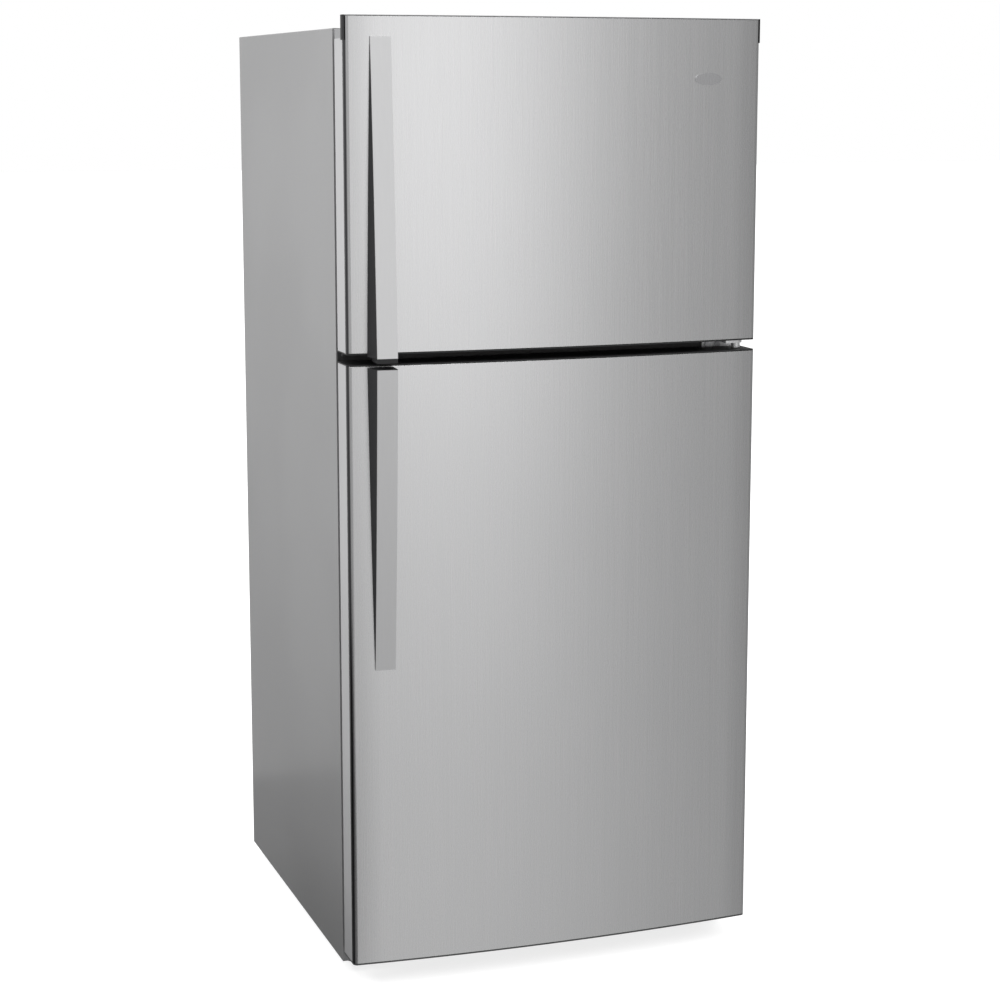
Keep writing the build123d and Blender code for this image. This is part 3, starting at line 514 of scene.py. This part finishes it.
def slab(low, high, edge):
    """A box whose edges are cut back, as points and faces of two stacked outlines."""
    points, faces = [], []
    depths = ((high[1], 0.0), (low[1] + edge, 0.0), (low[1], edge))
    for y, inset in depths:
        x0, x1, z0, z1 = low[0] + inset, high[0] - inset, low[2] + inset, high[2] - inset
        points += [(x0, y, z0), (x1, y, z0), (x1, y, z1), (x0, y, z1)]
    for layer in range(len(depths) - 1):
        for side in range(4):
            a, b = layer * 4 + side, layer * 4 + (side + 1) % 4
            faces.append((a, b, b + 4, a + 4))
    faces += [(3, 2, 1, 0), (8, 9, 10, 11)]
    return points, faces


def add_details(materials):
    """The plug at the rail's left end, an air duct in the fridge and its raised vents."""
    rail_low, rail_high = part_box("mullion_rail")
    middle = (rail_low[2] + rail_high[2]) / 2
    plug = dome((rail_low[0] + PLUG_INSET, rail_low[1], middle), PLUG_RADIUS, PLUG_HEIGHT)
    add_piece("rail_plug", plug, materials["foot_plastic"], "cabinet")
    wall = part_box("fridge_liner")[1][1] - LINER_WALL
    front = wall - DUCT_DEPTH
    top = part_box("control_housing")[0][2] - DUCT_BELOW_CONTROLS
    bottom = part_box("crisper_left")[1][2] + DUCT_ABOVE_CRISPERS
    duct = slab((-DUCT_HALF_WIDTH, front, bottom), (DUCT_HALF_WIDTH, wall, top), DUCT_EDGE)
    add_piece("air_duct", duct, materials["part_white"], "cabinet")
    group_step = (top - bottom - 2 * VENT_MARGIN) / (VENT_GROUPS - 1)
    for n in range(VENT_GROUPS):
        level = bottom + VENT_MARGIN + n * group_step
        for side in (-1, 1):
            x0, x1 = sorted(side * x for x in VENT_X)
            for row in range(VENT_ROWS):
                z = level + (row - 1) * VENT_STEP
                low = (x0, front - VENT_PROUD, z - VENT_HALF_HEIGHT)
                high = (x1, front + VENT_SUNK, z + VENT_HALF_HEIGHT)
                add_piece(f"duct_vent_{n}_{side + 1}_{row}", slab(low, high, VENT_EDGE),
                          materials["dark_plastic"], "cabinet")


# ---------------------------------------------------------------- stage and light
def make_world():
    """A light tent: a soft bright panel ahead and to the right of the doors, a pale left side.

    The camera itself sees plain white.
    """
    world = bpy.data.worlds.new("tent")
    world.use_nodes = True
    scene.world = world
    g = Graph(world.node_tree)
    background = world.node_tree.nodes["Background"]
    x, y, z = g.axes(g.add("ShaderNodeTexCoord").outputs["Generated"])
    ahead = g.remap(y, -0.1, -0.5)
    # Each lobe is a strength and the windows, over the directions, that it is seen through.
    broad_front = (0.30, [ahead, g.remap(x, 0.60, 0.2), g.remap(x, -0.3, 0.05)])
    main_panel = (0.87, [ahead, g.remap(x, 0.46, 0.24), g.remap(x, -0.10, 0.20),
                         g.remap(z, -0.27, -0.02), g.remap(z, 0.26, 0.1)])
    left_side = (0.34, [g.remap(x, 0.0, -0.35), g.remap(z, -0.26, 0.0)])
    ceiling = (0.75, [g.remap(z, 0.3, 0.75)])
    high_front = (1.5, [ahead, g.remap(x, -0.35, -0.1), g.remap(x, 0.7, 0.4),
                        g.remap(z, 0.38, 0.5), g.remap(z, 0.9, 0.75)])
    all_round = (0.40, [g.remap(z, -0.95, -0.35, 0.3, 1.0)])
    light = 0.0
    for strength, windows in (broad_front, main_panel, left_side, ceiling, high_front, all_round):
        for window in windows:
            strength = g.math("MULTIPLY", window, strength)
        light = g.math("ADD", strength, light)
    seen = g.add("ShaderNodeLightPath").outputs["Is Camera Ray"]
    strength = g.math("ADD", g.math("MULTIPLY", g.math("SUBTRACT", 1.0, seen), light), seen)
    g.join(strength, background.inputs["Strength"])
    background.inputs["Color"].default_value = WHITE


def area_light(name, place, aim, size, power, mirrored=True):
    """A square or oblong lamp; an unmirrored one lights the object but doesn't show in it."""
    data = bpy.data.lights.new(name, "AREA")
    data.shape = "RECTANGLE"
    data.size, data.size_y = size
    data.energy = power
    light = bpy.data.objects.new(name, data)
    light.location = place
    light.rotation_euler = (Vector(aim) - Vector(place)).to_track_quat("-Z", "Y").to_euler()
    light.visible_camera = False
    light.visible_glossy = mirrored
    scene.collection.objects.link(light)


def flat_mesh(name, rectangles, height):
    """Level rectangles, each given as (low x, low y, high x, high y)."""
    points, faces = [], []
    for x0, y0, x1, y1 in rectangles:
        first = len(points)
        points += [(x0, y0, height), (x1, y0, height), (x1, y1, height), (x0, y1, height)]
        faces.append(tuple(range(first, first + 4)))
    mesh = bpy.data.meshes.new(name)
    mesh.from_pydata(points, [], faces)
    sheet = bpy.data.objects.new(name, mesh)
    scene.collection.objects.link(sheet)
    return sheet


def make_floor():
    """A plain pale floor. It takes shadows, but isn't mirrored and throws no light back."""
    floor = flat_mesh("floor", [(-FLOOR_REACH, -FLOOR_REACH, FLOOR_REACH, FLOOR_REACH)], 0.0)
    material, g, shader = new_material("floor", Roughness=0.9, Specular_IOR_Level=0.1)
    cloud = g.noise(0.8, 2.0)
    g.join(g.mix(cloud, (0.45, 0.45, 0.45, 1), (0.47, 0.47, 0.47, 1)), shader.inputs["Base Color"])
    shader.inputs["Emission Color"].default_value = WHITE
    shader.inputs["Emission Strength"].default_value = FLOOR_GLOW
    floor.data.materials.append(material)
    floor.visible_glossy = False
    floor.visible_diffuse = False
    floor.visible_shadow = False


def make_fill_cards():
    """Dark cards under the floor and an upright flag at the left, which darken the foot.

    The camera doesn't see them.
    """
    left, back, right = cad_low[0], cad_high[1], cad_high[0]
    rear = back + CARD_BEHIND
    cards = flat_mesh("fill_cards", [
        (left - CARD_REACH, -CARD_REACH, left, rear),
        (left, back, right, rear),
        (right, cad_low[1] + CARD_SETBACK, right + CARD_REACH, rear),
    ], -CARD_SINK)
    material, g, shader = new_material("fill_cards", Roughness=0.9)
    face = g.mix(g.noise(2.0), (0.09, 0.09, 0.09, 1), (0.11, 0.11, 0.11, 1))
    g.join(face, shader.inputs["Base Color"])
    flag = flat_mesh("flag", [FLAG_RECTANGLE], 0.0)
    flag.rotation_euler = (0, math.radians(90), 0)
    flag.location = (left - FLAG_FROM_SIDE, 0, FLAG_HEIGHT)
    for card in (cards, flag):
        card.data.materials.append(material)
        card.visible_camera = False


def make_stage():
    """The plain studio: white surround, two lamps, the floor and what darkens the foot."""
    scene.view_settings.view_transform = "Standard"
    make_world()
    area_light("top_box", place=(-0.4, -0.6, 4.2), aim=(0, 0, 0.8), size=(2.6, 2.6), power=60)
    area_light("left_box", place=(-2.3, -0.3, 1.75), aim=(-0.4, -0.3, 1.2), size=(1.0, 1.0),
               power=26, mirrored=False)
    make_floor()
    make_fill_cards()


make_camera()
make_stage()
materials = make_materials()
dress_nodes(materials)
add_details(materials)
